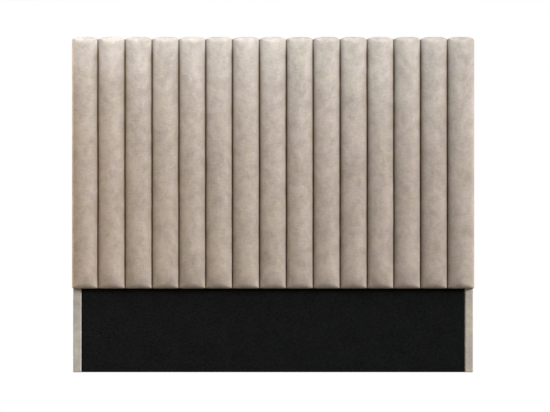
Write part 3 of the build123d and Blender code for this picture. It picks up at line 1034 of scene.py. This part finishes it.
def make_block_ply():
    """Birch plywood: thin plies through the thickness, light faces."""
    material, tree = new_material("block_plywood")
    place = solid_place(tree)
    grain = use_group(tree, GRAIN, Place=place, Ring_Width=0.012)
    ply = place_node(tree, "ShaderNodeTexWave", wave_type="BANDS", bands_direction="Y", wave_profile="SIN")
    feed(tree, ply, Vector=place, Scale=115.0, Distortion=0.6)
    face = blend_colours(tree, grain["Rings"], (0.66, 0.49, 0.31), (0.55, 0.38, 0.22))
    colour = blend_colours(tree, sum_up(tree, "MULTIPLY", ply.outputs["Fac"], 0.4), face, (0.33, 0.20, 0.11))
    finish_surface(tree, colour, 0.65, grain["Pores"], 0.0003, 0.3)
    return material


def make_zinc():
    """Galvanised staple wire with fine drawn lines."""
    material, tree = new_material("zinc_staple_wire")
    lines = clouds(tree, laid(tree, solid_place(tree), Scale=(120.0, 1500.0, 900.0)), 2.0)
    colour = blend_colours(tree, lines, (0.40, 0.39, 0.37), (0.72, 0.71, 0.68))
    rough = sum_up(tree, "MULTIPLY_ADD", lines, 0.25, 0.28)
    finish_surface(tree, colour, rough, lines, 0.0001, 0.4, Metallic=1.0)
    return material


velvet = make_velvet("taupe_velvet")
# The feet get copies of the same velvet, painted lighter and cooler, each for the light that falls on it
foot_velvet = {
    "left": make_velvet("taupe_velvet_left_foot", (0.96, 1.09, 1.15)),
    "right": make_velvet("taupe_velvet_right_foot", (1.13, 1.24, 1.24)),
}
black_felt = make_matted(
    "black_panel_felt", cloth_place, {"Fleck_Size": 0.0065, "Flecks": 2.4, "Clouds": 0.4},
    (0.0012, 0.0012, 0.0012), (0.0122, 0.0122, 0.0120), 0.95, (0.0004, 0.4), Specular_IOR_Level=0.1,
)
spun_cloth = make_back_cloth()
foam = make_foam()
wadding = make_matted(
    "white_wadding", solid_place, {"Fleck_Size": 0.004, "Flecks": 1.4, "Clouds": 0.5},
    (0.66, 0.66, 0.63), (0.90, 0.90, 0.88), 0.95, (0.0015, 0.6), Sheen_Weight=0.2,
)
upright_timber = make_timber("upright_pine", 0.0, (0.68, 0.47, 0.26), (0.50, 0.30, 0.14))
lying_timber = make_timber("lying_pine", math.pi / 2, (0.66, 0.46, 0.26), (0.49, 0.29, 0.14))
hardboard = make_matted(
    "brown_hardboard", solid_place, {"Fleck_Size": 0.0035, "Flecks": 1.0, "Clouds": 0.5},
    (0.19, 0.105, 0.052), (0.44, 0.28, 0.155), 0.6, (0.0003, 0.4), Specular_IOR_Level=0.4,
)
plywood = make_block_ply()
zinc = make_zinc()

finishes = {
    "corner_blocks": plywood, "board_staples": zinc, "back_staples": zinc, "face_board": hardboard,
    "lower_board": hardboard, "black_cloth": black_felt, "back_cloth": spun_cloth, "top_padding": foam,
    "left_foot_velvet": foot_velvet["left"], "right_foot_velvet": foot_velvet["right"],
}
for kind, finish in {
    "stile": upright_timber, "stud": upright_timber, "rail": lying_timber, "velvet_channel": velvet,
    "foam_channel": foam, "side_padding": wadding,
}.items():
    finishes |= {name: finish for name in nodes if kind in name}
for name, node in nodes.items():
    node.data.materials.clear()
    node.data.materials.append(finishes[name])


# Assembly

covers = [build_channel(number, velvet) for number in range(1, CHANNELS + 1)]
swell(covers)
for number, cover in enumerate(covers, 1):
    finer = cover.modifiers.new("finer", "SUBSURF")
    finer.levels = finer.render_levels = 1
    thicken(cover, VELVET)
    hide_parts(f"velvet_channel_{number:02d}")
    strip = build_foam(number, foam)
    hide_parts(f"foam_channel_{number:02d}")

top_strip = build_top_padding(foam)
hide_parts("top_padding")

for name, side in (("left", -1), ("right", 1)):
    pad = build_side_padding(name, side, wadding)
    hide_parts(f"{name}_side_padding")
    wrap = build_foot_wrap(name, side, foot_velvet[name])
    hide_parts(f"{name}_foot_velvet")

panel = build_black_panel(black_felt)
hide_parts("black_cloth")

closing = build_back_cloth(spun_cloth)
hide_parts("back_cloth")


# Floor, backdrop and light


def show_apart(tree, lit, seen, output):
    """The camera sees one shader, and all other light meets the other."""
    mix = place_node(tree, "ShaderNodeMixShader")
    camera_ray = place_node(tree, "ShaderNodeLightPath").outputs["Is Camera Ray"]
    for socket, source in zip(mix.inputs, (camera_ray, lit.outputs[0], seen.outputs[0])):
        tree.links.new(source, socket)
    tree.links.new(mix.outputs[0], place_node(tree, output).inputs["Surface"])


# Pale matt paper that the camera sees as plain white
paper, tree = new_material("floor_paper")
matt = place_node(tree, "ShaderNodeBsdfDiffuse")
feed(tree, matt, Color=(0.3, 0.3, 0.3, 1))
show_apart(tree, matt, place_node(tree, "ShaderNodeEmission"), "ShaderNodeOutputMaterial")

bm = bmesh.new()
bmesh.ops.create_grid(bm, x_segments=4, y_segments=4, size=12)
floor_mesh = bpy.data.meshes.new("floor")
bm.to_mesh(floor_mesh)
bm.free()
floor_mesh.materials.append(paper)
floor = bpy.data.objects.new("floor", floor_mesh)
floor.location.z = -0.0005
bpy.context.scene.collection.objects.link(floor)

world = bpy.data.worlds.new("studio")
world.use_nodes = True
bpy.context.scene.world = world
sky = world.node_tree
sky.nodes.clear()
faint = place_node(sky, "ShaderNodeBackground")
feed(sky, faint, Color=(1, 1, 1, 1), Strength=0.05)
white = place_node(sky, "ShaderNodeBackground")
feed(sky, white, Color=(1, 1, 1, 1))
show_apart(sky, faint, white, "ShaderNodeOutputWorld")
bpy.context.scene.view_settings.view_transform = "Standard"


def lamp(name, kind, place, aim, energy, colour, size, size_y=None):
    data = bpy.data.lights.new(name, kind)
    data.energy = energy
    data.color = colour
    if kind == "AREA":
        data.shape = "RECTANGLE"
        data.size = size
        data.size_y = size_y
    else:
        data.angle = size
    made = bpy.data.objects.new(name, data)
    made.location = place
    made.rotation_euler = (Vector(aim) - Vector(place)).to_track_quat("-Z", "Y").to_euler()
    made.visible_camera = False
    bpy.context.scene.collection.objects.link(made)


lamp("window", "SUN", (3.5, -1.72, 1.6), (0, 0, 0), 4.15, (0.945, 0.972, 1.025), math.radians(20))
lamp("doorway", "AREA", (-2.9, -1.15, 1.5), (-0.5, 0.0, 0.75), 24, (1.19, 1.01, 0.81), 1.0, 1.4)
lamp("strip", "AREA", (0.12, -0.38, 1.44), (0.17, -0.05, 1.10), 5.6, (0.67, 0.90, 1.14), 2.4, 0.15)
lamp("ceiling", "AREA", (-0.1, -0.9, 3.1), (-0.1, 0.0, 1.25), 19, (0.91, 0.95, 0.86), 2.6, 0.6)
lamp("left_wall", "AREA", (-3.2, 0.80, 0.9), (-0.75, 0.0, 0.8), 62, (1.04, 0.95, 0.84), 0.9, 1.6)
